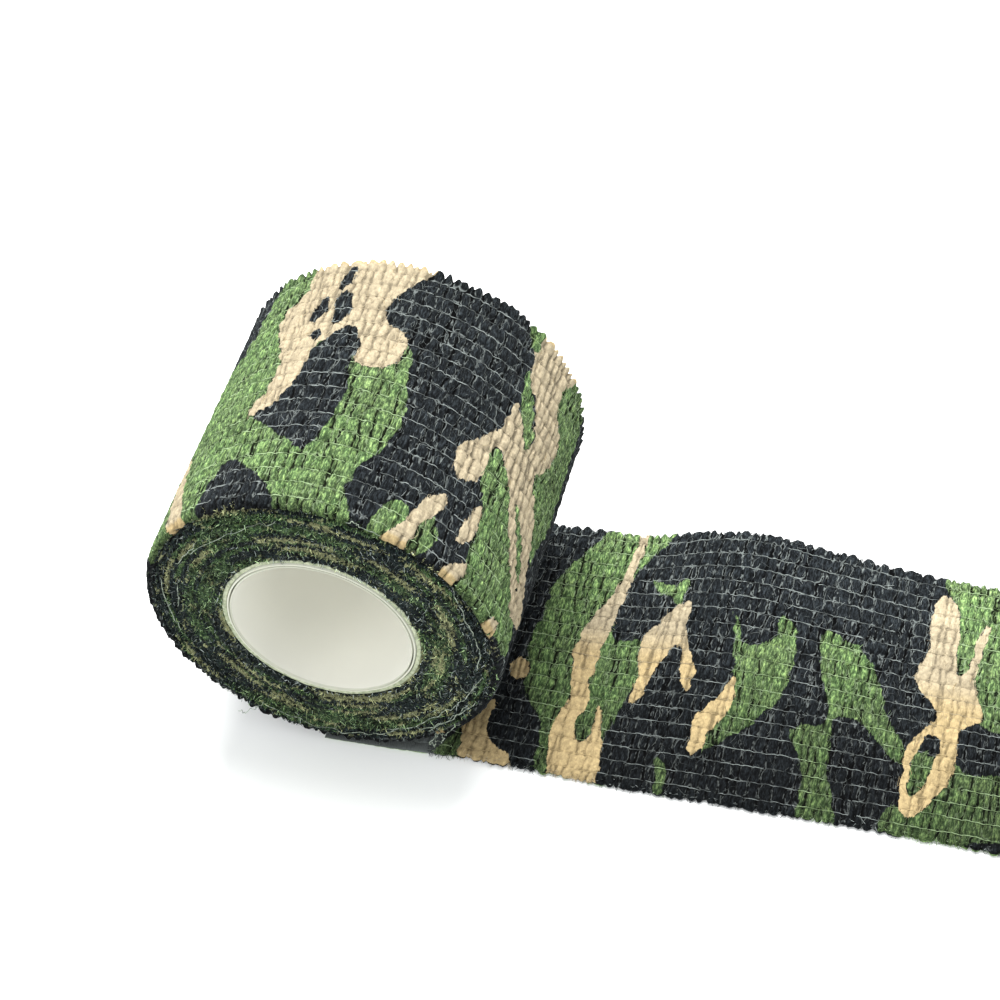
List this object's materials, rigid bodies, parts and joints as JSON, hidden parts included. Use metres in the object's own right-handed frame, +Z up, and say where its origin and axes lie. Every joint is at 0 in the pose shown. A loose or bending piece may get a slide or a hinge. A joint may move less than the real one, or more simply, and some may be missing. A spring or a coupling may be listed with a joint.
{
  "type": "self-adherent bandage roll",
  "caption": "Roll of crinkled self-adherent stretch bandage in a woodland print, wound on a thin white plastic core, with its free end laid out flat on the table.",
  "frame": {"origin": "middle of the core's bore, on its axis and half way along it", "axes": "+Y along the bore, away from the end that faces the viewer; +X along the free end, away from the roll; +Z up. The table is at z = -0.02862"},
  "size_m": [0.1396, 0.05, 0.056],
  "materials": {
    "core_plastic": "smooth satin white",
    "wrap_paper": "matt adhesive-coated paper",
    "camo_cloth": "crinkled matt non-woven, printed in a woodland pattern",
    "yarn": "fine pale elastic thread"
  },
  "bodies": {
    "tail": {"tail_inner_ply": "camo_cloth", "tail_outer_ply": "camo_cloth", "tail_yarns": "yarn"},
    "tail_end": {"tail_end_inner_ply": "camo_cloth", "tail_end_outer_ply": "camo_cloth", "tail_end_yarns": "yarn"},
    "roll": {"core_tube": "core_plastic", "core_wrap": "wrap_paper", "roll_inner_ply": "camo_cloth", "roll_outer_ply": "camo_cloth", "roll_yarn_01": "yarn", "roll_yarn_02": "yarn", "roll_yarn_03": "yarn", "roll_yarn_04": "yarn", "roll_yarn_05": "yarn", "roll_yarn_06": "yarn", "roll_yarn_07": "yarn", "roll_yarn_08": "yarn", "roll_yarn_09": "yarn", "roll_yarn_10": "yarn", "roll_yarn_11": "yarn", "roll_yarn_12": "yarn", "roll_yarn_13": "yarn", "roll_yarn_14": "yarn", "roll_yarn_15": "yarn", "roll_yarn_16": "yarn", "roll_yarn_17": "yarn", "roll_yarn_18": "yarn"}
  },
  "joints": [
    {"name": "roll_unwind", "type": "hinge", "parent": "tail", "child": "roll", "pos_m": [0, 0, 0], "axis": [0, -1, 0], "continuous": true},
    {"name": "tail_lift", "type": "hinge", "parent": "tail", "child": "tail_end", "pos_m": [0.057, 0, -0.0257], "axis": [0, -1, 0], "range_deg": [0, 90]}
  ]
}
